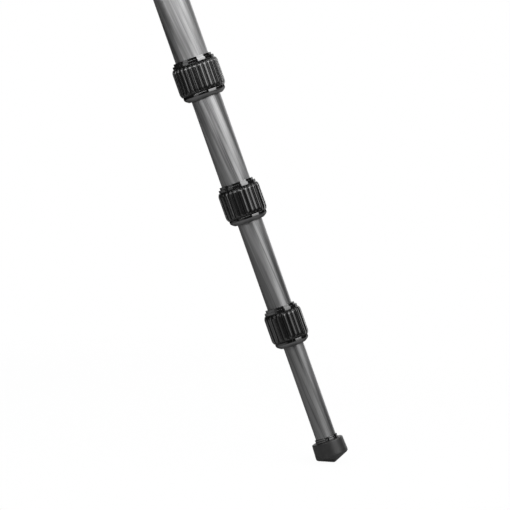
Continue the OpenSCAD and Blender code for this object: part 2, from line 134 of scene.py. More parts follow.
class TubeSizes(bpy.types.PropertyGroup):
    """Sizes of the leg tubes and of the centre column."""

    diameter: size("Top tube", "Outer diameter of the top leg tube", 0.028)
    wall: size("Wall", "Wall of every leg tube", 0.0014)
    nest_gap: size("Nesting gap", "Gap all round between a tube and the next one inside it", 0.00045)
    bush_length: size("Guide bush", "Length of the bush at a sliding tube's upper end", 0.04)
    plug_height: size("Top plug", "Thickness of the plug in the top tube's upper end", 0.004)
    column_diameter: size("Column", "Outer diameter of the centre column", 0.028)
    column_wall: size("Column wall", "Wall of the centre column", 0.0015)
    end_round: size("Cut ends", "Rounding of a tube's cut ends", 0.0003)


class LockSizes(bpy.types.PropertyGroup):
    """Sizes that all twist locks share."""

    ring_height: size("Ring height", "Height of each of the two rings", 0.002)
    ring_1_over: size("First ring", "How far the first ring stands over the tube", 0.002)
    ring_2_over: size("Second ring", "How far the second ring stands over the tube", 0.0035)
    spigot_over: size("Spigot", "How far the threaded spigot stands over the tube", 0.0015)
    spigot_length: size("Spigot length", "Length of the spigot below the rings", 0.016)
    tube_seat: size("Tube seat", "Depth of the tube's end in the lock", 0.012)
    collet_wall: size("Collet wall", "Wall of the split collet", 0.00155)
    grip_height: size("Grip height", "Height of the rubber grip", 0.0234)
    grip_over: size("Grip", "How far the grip stands over the spigot", 0.00385)
    grip_wall: size("Grip wall", "Thickness of the grip", 0.0022)
    shoulder: size("Grip shoulder", "Height over which the grip's ends are drawn in", 0.0034)
    draw_in: size("Drawn in", "How far the grip's ends are drawn in", 0.0013)
    seam: size("Seam", "Open seam above and below the grip", 0.00045)
    band_height: size("Band height", "Height of the glossy band", 0.0018)
    band_over: size("Band", "How far the band stands over the spigot", 0.0021)
    band_round: size("Band rounding", "Rounding of the band's upper edge", 0.0005)
    taper_height: size("Taper height", "Height of the rounded taper", 0.0033)
    groove_width: size("Groove width", "Width of a groove in the grip", 0.0021)
    groove_depth: size("Groove depth", "Depth of a groove in the grip", 0.00105)
    rib_round: size("Rib rounding", "Radius across the crown of a rib", 0.004)
    groove_margin: size("Groove margin", "From the end of a groove to the end of its grip", 0.0005)
    thread_pitch: size("Thread pitch", "Climb of the lock's thread in one turn", 0.0025)
    grooves: IntVectorProperty(
        name="Grooves", description="Grooves round the grips of locks 1 to 3 and the column lock",
        size=4, default=(28, 24, 21, 30), min=8,
    )


class FootSizes(bpy.types.PropertyGroup):
    """Sizes of the rubber feet and their ferrules."""

    top_radius: size("Top radius", "Radius of the foot at its top", 0.013)
    radius: size("Radius", "Radius of the foot above its cone", 0.0137)
    height: size("Height", "Height of the foot above its cone", 0.013)
    tip_radius: size("Tip radius", "Radius of the blunt tip", 0.001)
    top_round: size("Top rounding", "Rounding of the foot's top edge", 0.001)
    rim_round: size("Rim rounding", "Rounding between the foot and its cone", 0.0016)
    ferrule_over: size("Ferrule", "How far the ferrule stands over the bottom tube", 0.00095)
    ferrule_height: size("Ferrule height", "Height of the ferrule", 0.003)
    plug_length: size("Plug", "Length of the ferrule's plug in the tube", 0.016)
    stud_radius: size("Stud", "Radius of the threaded stud that holds the foot", 0.004)
    stud_depth: size("Stud depth", "Length of that stud in the foot", 0.01)
    stud_pitch: size("Stud pitch", "Climb of the stud's thread in one turn", 0.00125)


class HeadSizes(bpy.types.PropertyGroup):
    """Sizes of the head screw, the column's end cap, the bag hook and the bubble level."""

    screw_radius: size("Head screw", "Radius of the head screw over its thread", 0.0047625)
    screw_pitch: size("Screw pitch", "Climb of the head screw's thread in one turn", 0.0015875)
    shank_radius: size("Shank", "Radius of the head screw inside the plate", 0.004)
    cap_over: size("Cap", "How far the end cap stands over the column", 0.0015)
    cap_floor: size("Cap floor", "Thickness of the end cap's floor", 0.004)
    hook_wire: size("Hook wire", "Radius of the hook's wire", 0.0023)
    hook_bend: size("Hook bend", "Radius of the hook's bend, to the middle of its wire", 0.0095)
    hook_neck: size("Hook neck", "Length of the hook's straight neck", 0.006)
    hook_head: size("Hook head", "Radius of the hook's head inside the end cap", 0.006)
    hook_head_height: size("Hook head height", "Height of that head", 0.003)
    level_radius: size("Level", "Radius of the bubble level", 0.0065)
    bevel: size("Casting edges", "Width of the rounding on cast edges", 0.0008)


class Finishes(bpy.types.PropertyGroup):
    """Colours of the tripod's surfaces."""

    fibre_dark: colour("Dark fibre", "Darkest carbon fibre streaks", (0.19, 0.19, 0.191))
    fibre_light: colour("Light fibre", "Lightest carbon fibre streaks", (0.5, 0.5, 0.504))
    grip: colour("Grip rubber", "Rubber of the grips", (0.004, 0.004, 0.004))
    grip_worn: colour("Worn rubber", "Rubber on the crowns of the grips' ribs", (0.009, 0.009, 0.009))
    foot: colour("Foot rubber", "Rubber of the feet", (0.022, 0.022, 0.0223))
    foot_worn: colour("Scuffed rubber", "Rubber of the feet where it is scuffed", (0.055, 0.054, 0.052))
    gloss: colour("Black anodised", "Polished black rings, bands and ferrules", (0.32, 0.32, 0.322))
    band: colour("Lock bands", "Polished black bands of the locks", (0.18, 0.18, 0.181))
    taper: colour("Grey anodised", "Matt taper of the locks", (0.31, 0.31, 0.311))
    coating: colour("Coating", "Textured coating of the castings", (0.018, 0.018, 0.0185))
    coating_worn: colour("Rubbed coating", "Coating where hands rub it", (0.045, 0.045, 0.046))
    latch: colour("Latch", "Satin grey metal of the angle latches", (0.3, 0.3, 0.305))
    steel: colour("Steel", "Bolts, screws and hook", (0.56, 0.56, 0.57))
    nylon: colour("Nylon", "Bushes, plugs and sleeve", (0.05, 0.05, 0.051))
    liquid: colour("Liquid", "Liquid in the bubble level", (0.42, 0.56, 0.05))


class StudioSettings(bpy.types.PropertyGroup):
    """Where the camera stands and how bright the studio is."""

    yaw: FloatProperty(
        name="Yaw", description="Turn of the camera about the upright, from looking along +Y",
        default=math.radians(-18.0887), subtype="ANGLE",
    )
    pitch: FloatProperty(
        name="Pitch", description="How far the camera looks down",
        default=math.radians(9.35), subtype="ANGLE",
    )
    offset: FloatVectorProperty(
        name="Camera place", description="Camera's place, from the first leg's hinge",
        default=(0.8743, -2.1139, -0.1407), subtype="TRANSLATION",
    )
    lens: FloatProperty(
        name="Lens", description="Focal length in millimetres, on a sensor 36 mm wide",
        default=196.26, min=1.0,
    )
    key: level("Key light", "Radiance of the large soft light on the right", 3.8)
    high: level("High light", "Radiance of the soft light above", 3.4)
    side: level("Side light", "Radiance of the light far right", 2.0)
    fill: level("Fill light", "Radiance of the light on the left", 0.36)
    back: level("Back light", "Radiance of the light behind", 1.2)
    around: level("Surround", "Light that reaches matt surfaces from all round", 0.22)
    dark: level("Dark studio", "Brightness of the studio in reflections", 0.03)
    floor_radius: size("Floor radius", "Radius of the pale floor", 0.52)


class Place:
    """A local frame: its origin, and its directions u, v and w as the rows of a matrix."""

    def __init__(self, origin, u, v, w):
        self.origin, self.axes = np.array(origin, float), np.array((u, v, w), float)

    def world(self, points):
        """Local points in the world: the origin, plus u, v and w times their directions."""
        return self.origin + points @ self.axes

    def local(self, points):
        """Points of the world in this frame: their steps from the origin along u, v and w."""
        return (points - self.origin) @ self.axes.T

    def at(self, origin):
        """The same directions at another origin."""
        return Place(origin, *self.axes)


UPRIGHT = Place((0, 0, 0), (1, 0, 0), (0, 1, 0), (0, 0, 1))


def leg_place(leg):
    """A leg's frame, from its hinge and the direction in which its tubes slide."""
    hinge = JOINTS[f"leg_{leg}_spread"]
    down = np.array(JOINTS[f"leg_{leg}_section_2_slide"]["axis"], float)
    across = -np.array(hinge["axis"], float)
    return Place(hinge["pos_m"], np.cross(across, down), across, down)


def lock_place(leg, lock):
    """The frame of a leg's twist lock."""
    return leg_place(leg).at(JOINTS[f"leg_{leg}_lock_{lock}_twist"]["pos_m"])


def column_lock_place():
    """The frame of the column's twist lock."""
    return UPRIGHT.at(JOINTS["column_lock_twist"]["pos_m"])


def points_of(mesh):
    """A mesh's vertices as an array."""
    points = np.empty(len(mesh.vertices) * 3, np.float32)
    mesh.vertices.foreach_get("co", points)
    return points.reshape(-1, 3).astype(float)


def extent(node, place):
    """Lowest and highest height of a CAD node along w, and its greatest radius about w."""
    local = place.local(points_of(frame["nodes"][node].data))
    return local[:, 2].min(), local[:, 2].max(), np.hypot(local[:, 0], local[:, 1]).max()


def rounded(*corners):
    """A profile through corners of (radius, height, rounding). A corner c with a rounding becomes the curve
    (1-t)^2 a + 2t(1-t) c + t^2 b, where a and b lie that far from c on its two sides."""
    corners = np.array(corners, float)
    point, reach = corners[:, :2], corners[:, 2:]
    sides = np.roll(point, 1, 0) - point, np.roll(point, -1, 0) - point
    a, b = (point + side * np.minimum(reach / np.maximum(np.linalg.norm(side, axis=1)[:, None], MERGE), 0.5)
            for side in sides)
    t = np.linspace(0, 1, ROUND_STEPS + 1)[None, :, None]
    curve = (1 - t) ** 2 * a[:, None] + 2 * t * (1 - t) * point[:, None] + t ** 2 * b[:, None]
    curve = curve.reshape(-1, 2)
    return curve[np.linalg.norm(curve - np.roll(curve, 1, 0), axis=1) > MERGE]


def ring_profile(inner, outer, low, high, edge=0.0, inner_edge=0.0):
    """The profile of a ring, or of a disc where inner is 0."""
    return rounded((inner, low, inner_edge), (outer, low, edge), (outer, high, edge),
                   (inner, high, inner_edge))


def refined(profile, step):
    """The same profile with its long sides cut into steps no longer than step."""
    side = np.roll(profile, -1, 0) - profile
    count = np.maximum(np.ceil(np.linalg.norm(side, axis=1) / step).astype(int), 1)
    if on_axis(profile):
        count[-1] = 1
    which = np.repeat(np.arange(len(profile)), count)
    share = (np.arange(len(which)) - np.repeat(np.cumsum(count) - count, count)) / count[which]
    return profile[which] + share[:, None] * side[which]


def on_axis(profile):
    """Whether a profile starts and ends on the axis, so that it needs no side between its two ends."""
    return profile[0, 0] < MERGE and profile[-1, 0] < MERGE


def grid_faces(rows, columns, wrap_rows, wrap_columns):
    """Quads of a grid of points numbered row by row. A wrapped direction joins its last line to its first."""
    row = np.arange(rows if wrap_rows else rows - 1)[:, None]
    column = np.arange(columns if wrap_columns else columns - 1)[None, :]
    below, beside = (row + 1) % rows, (column + 1) % columns
    corners = (row * columns + column, row * columns + beside, below * columns + beside,
               below * columns + column)
    return np.stack(corners, axis=-1).reshape(-1, 4)


def turned(profile, segments=SEGMENTS, shape=None, start=0.0, sweep=FULL_TURN):
    """A profile turned about w: point (r, h) at angle a lies at (r cos a, r sin a, h). shape(r, h, a) changes
    the radius. A part turn is closed at both ends by the profile itself."""
    whole = sweep >= FULL_TURN
    angle = start + sweep * np.arange(segments) / (segments if whole else segments - 1)
    radius, height = profile[:, :1] + 0 * angle, profile[:, 1:] + 0 * angle
    if shape:
        radius = shape(radius, height, angle)
    points = np.stack((radius * np.cos(angle), radius * np.sin(angle), height), axis=-1).reshape(-1, 3)
    rows = len(profile)
    faces = grid_faces(rows, segments, not on_axis(profile), whole).tolist()
    if not whole:
        faces += [np.arange(0, rows * segments, segments).tolist(),
                  np.arange(segments - 1, rows * segments, segments).tolist()]
    return points, faces


def ease(value, low, high):
    """Rises smoothly from 0 at low to 1 at high, as 3t^2 - 2t^3."""
    t = np.clip((value - low) / (high - low), 0, 1)
    return t * t * (3 - 2 * t)


def threaded(crest, root, pitch, low, high):
    """A shape for turned(): a screw thread from radius crest down to root between two heights, which leaves
    smaller radii alone. At angle a and height h the groove's share is a triangle wave of
    h / pitch - a / turn, with flats on both sides."""
    def cut(radius, height, angle):
        phase = np.mod(height / pitch - angle / FULL_TURN, 1)
        groove = np.clip((1 + 2 * FLATS) * np.abs(2 * phase - 1) - FLATS, 0, 1)
        fade = ease(height, low, low + pitch / 2) * (1 - ease(height, high - pitch / 2, high))
        depth = groove * fade * np.minimum(crest - root, radius - root)
        return np.where(radius > root, radius - depth, radius)
    return cut


def grey(tone):
    """A neutral colour for a socket, from 0 for black to 1 for white."""
    return tone, tone, tone, 1.0


def dimmed(colours, share):
    """A share of a colour's brightness."""
    return [share * part for part in colours]


class Value:
    """A number, vector or colour that a node works out. Sums and products of values add their Math nodes."""

    def __init__(self, graph, socket):
        self.graph, self.socket = graph, socket

    def math(self, operation, *terms):
        """A Math node of one operation over values and numbers."""
        return self.graph.node("Math", {"operation": operation}, dict(enumerate(terms)))

    def __add__(self, other):
        return self.math("ADD", self, other)

    def __sub__(self, other):
        return self.math("SUBTRACT", self, other)

    def __rsub__(self, other):
        return self.math("SUBTRACT", other, self)

    def __mul__(self, other):
        return self.math("MULTIPLY", self, other)

    def __pow__(self, other):
        return self.math("POWER", self, other)

    __radd__, __rmul__ = __add__, __mul__

    def sine(self):
        return self.math("SINE", self)

    def or_above(self, other):
        """The larger of two values."""
        return self.math("MAXIMUM", self, other)

    def over(self, low, high):
        """0 where this value is below low, 1 above high, and a smooth rise between them."""
        sockets = {"Value": self, "From Min": low, "From Max": high}
        return self.graph.node("MapRange", {"interpolation_type": "SMOOTHSTEP"}, sockets)


class Graph:
    """The nodes of one material or of the world."""

    def __init__(self, owner):
        owner.use_nodes = True
        self.tree = owner.node_tree
        self.tree.nodes.clear()

    def node(self, kind, settings=None, sockets=None, out=0):
        """Adds a node, makes its settings, and then gives its sockets their values or links."""
        made = self.tree.nodes.new("ShaderNode" + kind)
        for name, value in (settings or {}).items():
            setattr(made, name, value)
        for name, value in (sockets or {}).items():
            if isinstance(value, Value):
                self.tree.links.new(value.socket, made.inputs[name])
            else:
                made.inputs[name].default_value = value
        return Value(self, made.outputs[out]) if made.outputs else None

    def attribute(self, name, out="Fac"):
        """What mark() stored on the piece: its grain, or its mask."""
        return self.node("Attribute", {"attribute_name": name}, out=out)

    def place(self):
        return self.node("TexCoord", out="Object")

    def rays(self, *kinds):
        """For each kind of ray, such as Camera, a value that is 1 for such rays and 0 for others."""
        path = self.node("LightPath").socket.node
        return [Value(self, path.outputs[f"Is {kind} Ray"]) for kind in kinds]

    def parts(self, vector):
        """A vector's x, y and z as three values."""
        x = self.node("SeparateXYZ", sockets={0: vector})
        return x, *(Value(self, x.socket.node.outputs[axis]) for axis in (1, 2))

    def noise(self, scale, detail, vector=None, stretch=None):
        """Noise over a vector, or else over the place on the object, whose axes are scaled by stretch."""
        vector = vector or self.place()
        if stretch:
            vector = self.node("VectorMath", {"operation": "MULTIPLY"}, {0: vector, 1: stretch})
        return self.node("TexNoise", sockets={"Vector": vector, "Scale": scale, "Detail": detail})

    def mixed(self, share, first, second):
        """The first colour where share is 0 and the second where it is 1."""
        colours = {name: value if isinstance(value, Value) else (*value, 1.0)
                   for name, value in ((6, first), (7, second))}
        return self.node("Mix", {"data_type": "RGBA"}, {0: share, **colours}, out=2)

    def bump(self, height, depth):
        """The normal of a surface whose height rises by depth metres from 0 to 1."""
        return self.node("Bump", sockets={"Height": height, "Distance": depth}, out="Normal")

    def surface(self, **sockets):
        """The material's shader. Words in capitals and spaces come from the keyword's underscores. A
        metal's specular_tint dims what it reflects at a grazing angle."""
        named = {name.replace("_", " ").title().replace("Ior", "IOR"): value
                 for name, value in sockets.items()}
        shader = self.node("BsdfPrincipled", sockets=named)
        self.node("OutputMaterial", sockets={"Surface": shader})


def finish(build):
    """Makes a material function that builds its material once and then returns it again."""
    def made():
        name = "tripod_" + build.__name__
        material = bpy.data.materials.get(name)
        if material is None:
            material = bpy.data.materials.new(name)
            build(Graph(material), bpy.context.scene.tripod_finishes)
        return material
    return made


@finish
def carbon_fibre(graph, tones):
    """Clear-coated carbon with soft fibre streaks that run along the tube."""
    grain = graph.attribute("grain", out="Vector")
    broad = graph.noise(260, 2.0, grain, (1, 1, 0.03))
    fine = graph.noise(1500, 3.0, grain, (1, 1, 0.015))
    cloud = graph.noise(60, 2.0, grain, (1, 1, 0.25))
    streak = (0.5 * broad + 0.3 * fine + 0.2 * cloud).over(0.36, 0.64)
    graph.surface(
        base_color=graph.mixed(streak, tones.fibre_dark, tones.fibre_light),
        metallic=0.85, roughness=0.4 + 0.1 * streak, coat_weight=0.3, coat_roughness=0.2,
        specular_tint=grey(0.45), normal=graph.bump(fine, 0.000004),
    )


@finish
def grip_rubber(graph, tones):
    """Fine-textured rubber, polished and a little lighter where hands rub the ribs."""
    grit = graph.noise(4200, 3.0)
    crown = graph.attribute("mask")
    rubbed = crown * graph.noise(220, 2.0).over(0.3, 0.7)
    graph.surface(
        base_color=graph.mixed(rubbed, tones.grip, tones.grip_worn), roughness=0.22 + 0.1 * grit,
        coat_weight=crown * (0.8 + 0.2 * grit), coat_roughness=0.16, coat_ior=2.0,
        normal=graph.bump(grit, 0.0000015),
    )


@finish
def foot_rubber(graph, tones):
    """Matt rubber, scuffed towards the tip."""
    grit = graph.noise(3000, 4.0)
    scuff = graph.noise(420, 4.0).over(0.42, 0.7) * (0.25 + 0.75 * graph.attribute("mask"))
    graph.surface(
        base_color=graph.mixed(scuff, tones.foot, tones.foot_worn),
        roughness=0.38 + 0.14 * grit, ior=1.6, specular_ior_level=0.8, normal=graph.bump(grit, 0.000008),
    )


@finish
def black_anodised(graph, tones):
    """Polished black metal with faint turning marks."""
    marks = graph.noise(9000, 2.0, graph.attribute("grain", out="Vector"), (0.05, 0.05, 1))
    graph.surface(
        base_color=graph.mixed(marks, tones.gloss, dimmed(tones.gloss, 0.85)),
        metallic=1.0, roughness=0.05 + 0.05 * marks, normal=graph.bump(marks, 0.0000004),
        specular_tint=grey(0.25),
    )


@finish
def lock_metal(graph, tones):
    """The lock's nut: a polished band, and a matt taper where the mask is 1."""
    matt = graph.attribute("mask")
    grit = graph.noise(3800, 3.0)
    graph.surface(
        base_color=graph.mixed(matt, tones.band, tones.taper),
        metallic=1.0 - 0.1 * matt, roughness=0.06 + matt * (0.2 + 0.06 * grit),
        specular_tint=grey(0.1), normal=graph.bump(grit * matt, 0.000003),
    )


@finish
def coated_casting(graph, tones):
    """Black coating with a fine pebbled texture, polished black where the mask is 1."""
    pebbles = graph.noise(2600, 3.0)
    rubbed = graph.noise(90, 3.0).over(0.45, 0.75)
    turned_face = graph.attribute("mask")
    coat = graph.mixed(rubbed, tones.coating, tones.coating_worn)
    graph.surface(
        base_color=graph.mixed(turned_face, coat, tones.gloss),
        metallic=turned_face * 1.0, roughness=(0.42 + 0.12 * pebbles) * (1 - turned_face) + 0.1 * turned_face,
        normal=graph.bump(pebbles * (1 - turned_face), 0.00002),
    )


RING_PITCH = 0.0012  # from one turned ring on the head plate to the next


@finish
def plate_coating(graph, tones):
    """The head plate: the castings' coating with fine turned rings on its seat."""
    x, y, z = graph.parts(graph.place())
    radius = (x * x + y * y) ** 0.5
    rings = (radius * (FULL_TURN / RING_PITCH)).sine() * 0.5 + 0.5
    seat = z.over(-0.0006, -0.0001)
    pebbles = graph.noise(2600, 3.0)
    rubbed = graph.noise(130, 3.0).over(0.4, 0.75)
    graph.surface(
        base_color=graph.mixed(rubbed, tones.coating, tones.coating_worn),
        roughness=0.42 + 0.12 * pebbles - 0.08 * seat,
        normal=graph.bump(pebbles * (1 - seat) * 0.5 + rings * seat, 0.00004),
    )


@finish
def satin_grey(graph, tones):
    """Bead-blasted grey metal of the angle latches."""
    grit = graph.noise(3600, 2.0)
    graph.surface(
        base_color=graph.mixed(grit, tones.latch, dimmed(tones.latch, 0.7)),
        metallic=0.9, roughness=0.32 + 0.12 * grit, normal=graph.bump(grit, 0.000006),
    )


@finish
def turned_steel(graph, tones):
    """Plated steel with faint tool marks and a few dull patches."""
    marks = graph.noise(1400, 3.0, stretch=(1, 1, 6))
    dull = graph.noise(300, 2.0).over(0.5, 0.8)
    graph.surface(
        base_color=graph.mixed(dull, tones.steel, dimmed(tones.steel, 0.6)),
        metallic=1.0, roughness=0.2 + 0.1 * marks + 0.15 * dull, normal=graph.bump(marks, 0.000004),
    )


@finish
def moulded_nylon(graph, tones):
    """Slightly waxy black nylon."""
    grit = graph.noise(1800, 3.0)
    graph.surface(
        base_color=graph.mixed(grit, tones.nylon, dimmed(tones.nylon, 0.6)),
        roughness=0.45 + 0.12 * grit, normal=graph.bump(grit, 0.000006),
    )


@finish
def level_liquid(graph, tones):
    """Tinted liquid under a clear window, with painted shade that darkens it towards its rim, where the
    bezel's wall rises round it.
    """
    # The mask is 1 in the middle and falls to 0 at the rim; where it is low, painted shade darkens the liquid
    depth = graph.attribute("mask")
    graph.surface(
        base_color=graph.mixed(depth, dimmed(tones.liquid, 0.45), tones.liquid),
        roughness=0.08, coat_weight=1.0, coat_roughness=0.02,
    )


@finish
def level_bubble(graph, tones):
    """The air bubble, paler than the liquid round it."""
    depth = graph.attribute("mask")
    graph.surface(
        base_color=graph.mixed(depth, tones.liquid, [min(1.0, 0.35 + 1.1 * tone) for tone in tones.liquid]),
        roughness=0.05, coat_weight=1.0, coat_roughness=0.02,
    )


def linked(name, data):
    """A new object of the scene."""
    made = bpy.data.objects.new(name, data)
    bpy.context.scene.collection.objects.link(made)
    return made


def dress(piece, node, material):
    """Puts a material on a piece and lets it ride with, and stand for, its CAD node."""
    piece.data.materials.clear()
    piece.data.materials.append(material)
    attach(piece, frame["nodes"][node]["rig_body"])
    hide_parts(node)


def smooth(mesh, degrees):
    """Shades a mesh smooth, with sharp edges where its faces meet at more than an angle."""
    mesh.polygons.foreach_set("use_smooth", np.ones(len(mesh.polygons), bool))
    mesh.set_sharp_from_angle(angle=math.radians(degrees))


def even_normals(piece):
    """Lets large faces lead the shading of the small ones beside them."""
    modifier = piece.modifiers.new("even_normals", "WEIGHTED_NORMAL")
    modifier.keep_sharp = True


def mark(mesh, place, grain_twist, mask):
    """Stores on each vertex its local place as grain, turned by grain_twist radians for each metre along w,
    and the value of mask(local points)."""
    local = place.local(points_of(mesh))
    turn = grain_twist * local[:, 2]
    grain = np.stack((local[:, 0] * np.cos(turn) - local[:, 1] * np.sin(turn),
                      local[:, 0] * np.sin(turn) + local[:, 1] * np.cos(turn), local[:, 2]), axis=-1)
    stored = mesh.attributes.new("grain", "FLOAT_VECTOR", "POINT")
    stored.data.foreach_set("vector", grain.astype(np.float32).ravel())
    if mask:
        stored = mesh.attributes.new("mask", "FLOAT", "POINT")
        stored.data.foreach_set("value", np.asarray(mask(local), np.float32))


def add_piece(name, shells, place, node, material, mask=None, grain_twist=0.0):
    """Adds one piece made of closed shells, each given as points and faces in a local frame. It may not
    leave the extent of the CAD node that it stands for."""
    points, faces, first = [], [], 0
    for shell_points, shell_faces in shells:
        points.append(shell_points)
        faces += [[first + corner for corner in face] for face in shell_faces]
        first += len(shell_points)
    local = np.concatenate(points)
    low, high, reach = extent(node, place)
    if (local[:, 2].min() < low - FIT or local[:, 2].max() > high + FIT
            or np.hypot(local[:, 0], local[:, 1]).max() > reach + FIT):
        raise ValueError(f"{name} leaves the solid of {node}: its sizes and the model's differ")
    mesh = bpy.data.meshes.new(name)
    mesh.from_pydata(place.world(local).tolist(), [], faces)
    edit = bmesh.new()
    edit.from_mesh(mesh)
    bmesh.ops.remove_doubles(edit, verts=edit.verts, dist=MERGE)
    bmesh.ops.recalc_face_normals(edit, faces=edit.faces)
    edit.to_mesh(mesh)
    edit.free()
    mark(mesh, place, grain_twist, mask)
    smooth(mesh, TURNED_ANGLE)
    piece = linked(name, mesh)
    even_normals(piece)
    dress(piece, node, material)


def add_casting(name, node, material, bevel, place=UPRIGHT, mask=None):
    """Adds a copy of a CAD node with its flat faces merged and its edges rounded."""
    mesh = frame["nodes"][node].data.copy()
    mesh.name = name
    edit = bmesh.new()
    edit.from_mesh(mesh)
    bmesh.ops.remove_doubles(edit, verts=edit.verts, dist=CAST_MERGE)
    bmesh.ops.dissolve_limit(edit, angle_limit=math.radians(FLAT_ANGLE), verts=edit.verts, edges=edit.edges)
    edit.to_mesh(mesh)
    edit.free()
    mark(mesh, place, 0.0, mask or (lambda local: 0 * local[:, 2]))
    smooth(mesh, CAST_ANGLE)
    piece = linked(name, mesh)
    edges = piece.modifiers.new("edges", "BEVEL")
    edges.width, edges.segments, edges.limit_method = bevel, 3, "ANGLE"
    edges.angle_limit, edges.use_clamp_overlap = math.radians(CAST_ANGLE), True
    even_normals(piece)
    dress(piece, node, material)


# Clearances of glued or pressed joints, of sliding parts, of threads and of open air
GLUE_GAP = 0.00005
SLIDE_GAP = 0.00005
THREAD_GAP = 0.0001
AIR_GAP = 0.0003

# Roundings, from the widest edge to the crispest
WIDE_EDGE = 0.0005
EDGE = 0.0004
SOFT_EDGE = 0.0003
SMALL_EDGE = 0.0002
FINE_EDGE = 0.00015
THIN_EDGE = 0.0001
CRISP_EDGE = 0.00005

GRAIN_TWIST = 8.0  # radians that the fibre streaks turn round a tube in a metre
POWER = 1.7  # power of the curve on tapers and shoulders
BUSH_SPLIT = 0.04  # radians from the middle of a split in a guide bush to each half
COLLET_GAP = 0.0005  # from the tube's end to the collet
COLLET_BEND = 0.003  # from the spigot's end to where the collet starts to thin
COLLET_END = 0.001  # from the collet's end to the grip's
THREAD_DEPTH = 0.0007  # depth of the spigots' and studs' threads
SCREW_THREAD = 0.61  # depth of the head screw's thread as a share of its pitch
LIP_WALL = 0.0016  # wall of a lock's nut at its lower end
GROOVE_SEGMENTS = 14  # steps round a grip from one groove to the next
GRIP_STEP = 0.0008  # longest step along a grip
GROOVE_FLOOR = 0.45  # share of a groove's half width up to which it has its full depth
GROOVE_EDGE = 1.12  # share of it at which the groove ends
RUBBER_SKIN = 0.0005  # over a grip's core, where its grooves and ribs have their full form
RUB_FROM = 0.0009  # below a grip's full radius, where hands start to rub it
FOOT_STEP = 0.002  # longest step along a foot
STUD_ROOM = 0.0005  # from the stud's end to the end of its hole in the foot
SCUFFED_FROM = 0.002  # from the foot's rim up to where it starts to be scuffed
NOTCH = 0.00035  # depth and half width of the notch round a ferrule
THREAD_STEPS = 8  # steps along one turn of a thread


def tube_radius(tubes, number):
    """Outer radius of leg tube 1, at the top, to 4, at the foot."""
    return tubes.diameter / 2 - (number - 1) * (tubes.wall + tubes.nest_gap)


def lock_form(locks, tube, slide, spigot=None):
    """Radii and heights of a lock between a tube and the tube that slides in it."""
    form = SimpleNamespace(tube=tube, slide=slide, spigot=spigot or tube + locks.spigot_over)
    form.rings = 2 * locks.ring_height
    form.grip_from = form.rings + locks.seam
    form.grip_to = form.grip_from + locks.grip_height
    form.band_from = form.grip_to + locks.seam
    form.taper_from = form.band_from + locks.band_height
    form.end = form.taper_from + locks.taper_height
    form.spigot_to = form.rings + locks.spigot_length
    form.collet_from = locks.tube_seat + COLLET_GAP
    form.collet_bend = form.spigot_to + COLLET_BEND
    form.collet_to = form.grip_to - COLLET_END
    form.grip = form.spigot + locks.grip_over
    form.core = form.grip - locks.grip_wall
    form.band = form.spigot + locks.band_over
    return form


def leg_lock_form(scene, lock):
    """The form of a leg's lock."""
    tubes = scene.tripod_tubes
    return lock_form(scene.tripod_locks, tube_radius(tubes, lock), tube_radius(tubes, lock + 1))


def column_lock_form(scene):
    """The form of the column's lock, whose spigot holds the column's sleeve."""
    slide, locks = scene.tripod_tubes.column_diameter / 2, scene.tripod_locks
    sleeve = slide + locks.collet_wall + GLUE_GAP
    return lock_form(locks, sleeve, slide, sleeve + locks.spigot_over)


def tube_shell(outer, wall, start, stop, cut):
    """A tube with rounded ends, cut into short rows so that its grain follows its surface."""
    return turned(refined(ring_profile(outer - wall, outer, start, stop, cut, cut), ROW_STEP))


def add_leg_tube(scene, leg, number):
    """The carbon tube of one leg section, with its plug or its guide bush in two halves."""
    tubes, place, node = scene.tripod_tubes, leg_place(leg), f"leg_{leg}_tube_{number}"
    radius, (start, stop, _) = tube_radius(tubes, number), extent(node, place)
    if number == TUBES[-1]:
        foot_at, *_ = extent(f"leg_{leg}_foot", place)
        stop = foot_at - scene.tripod_feet.ferrule_height - GLUE_GAP
    shell = tube_shell(radius, tubes.wall, start, stop, tubes.end_round)
    add_piece(f"{node}_carbon", [shell], place, node, carbon_fibre(), grain_twist=GRAIN_TWIST)
    if number == TUBES[0]:
        plug = ring_profile(0, radius - tubes.wall - GLUE_GAP, start, start + tubes.plug_height, EDGE)
        add_piece(f"{node}_plug", [turned(plug)], place, node, moulded_nylon())
        return
    outer = tube_radius(tubes, number - 1) - tubes.wall - SLIDE_GAP
    bush = ring_profile(radius + GLUE_GAP, outer, start, start + tubes.bush_length, THIN_EDGE)
    halves = [turned(bush, SEGMENTS // 2, start=turn + BUSH_SPLIT, sweep=math.pi - 2 * BUSH_SPLIT)
              for turn in (0, math.pi)]
    add_piece(f"{node}_bush", halves, place, node, moulded_nylon())


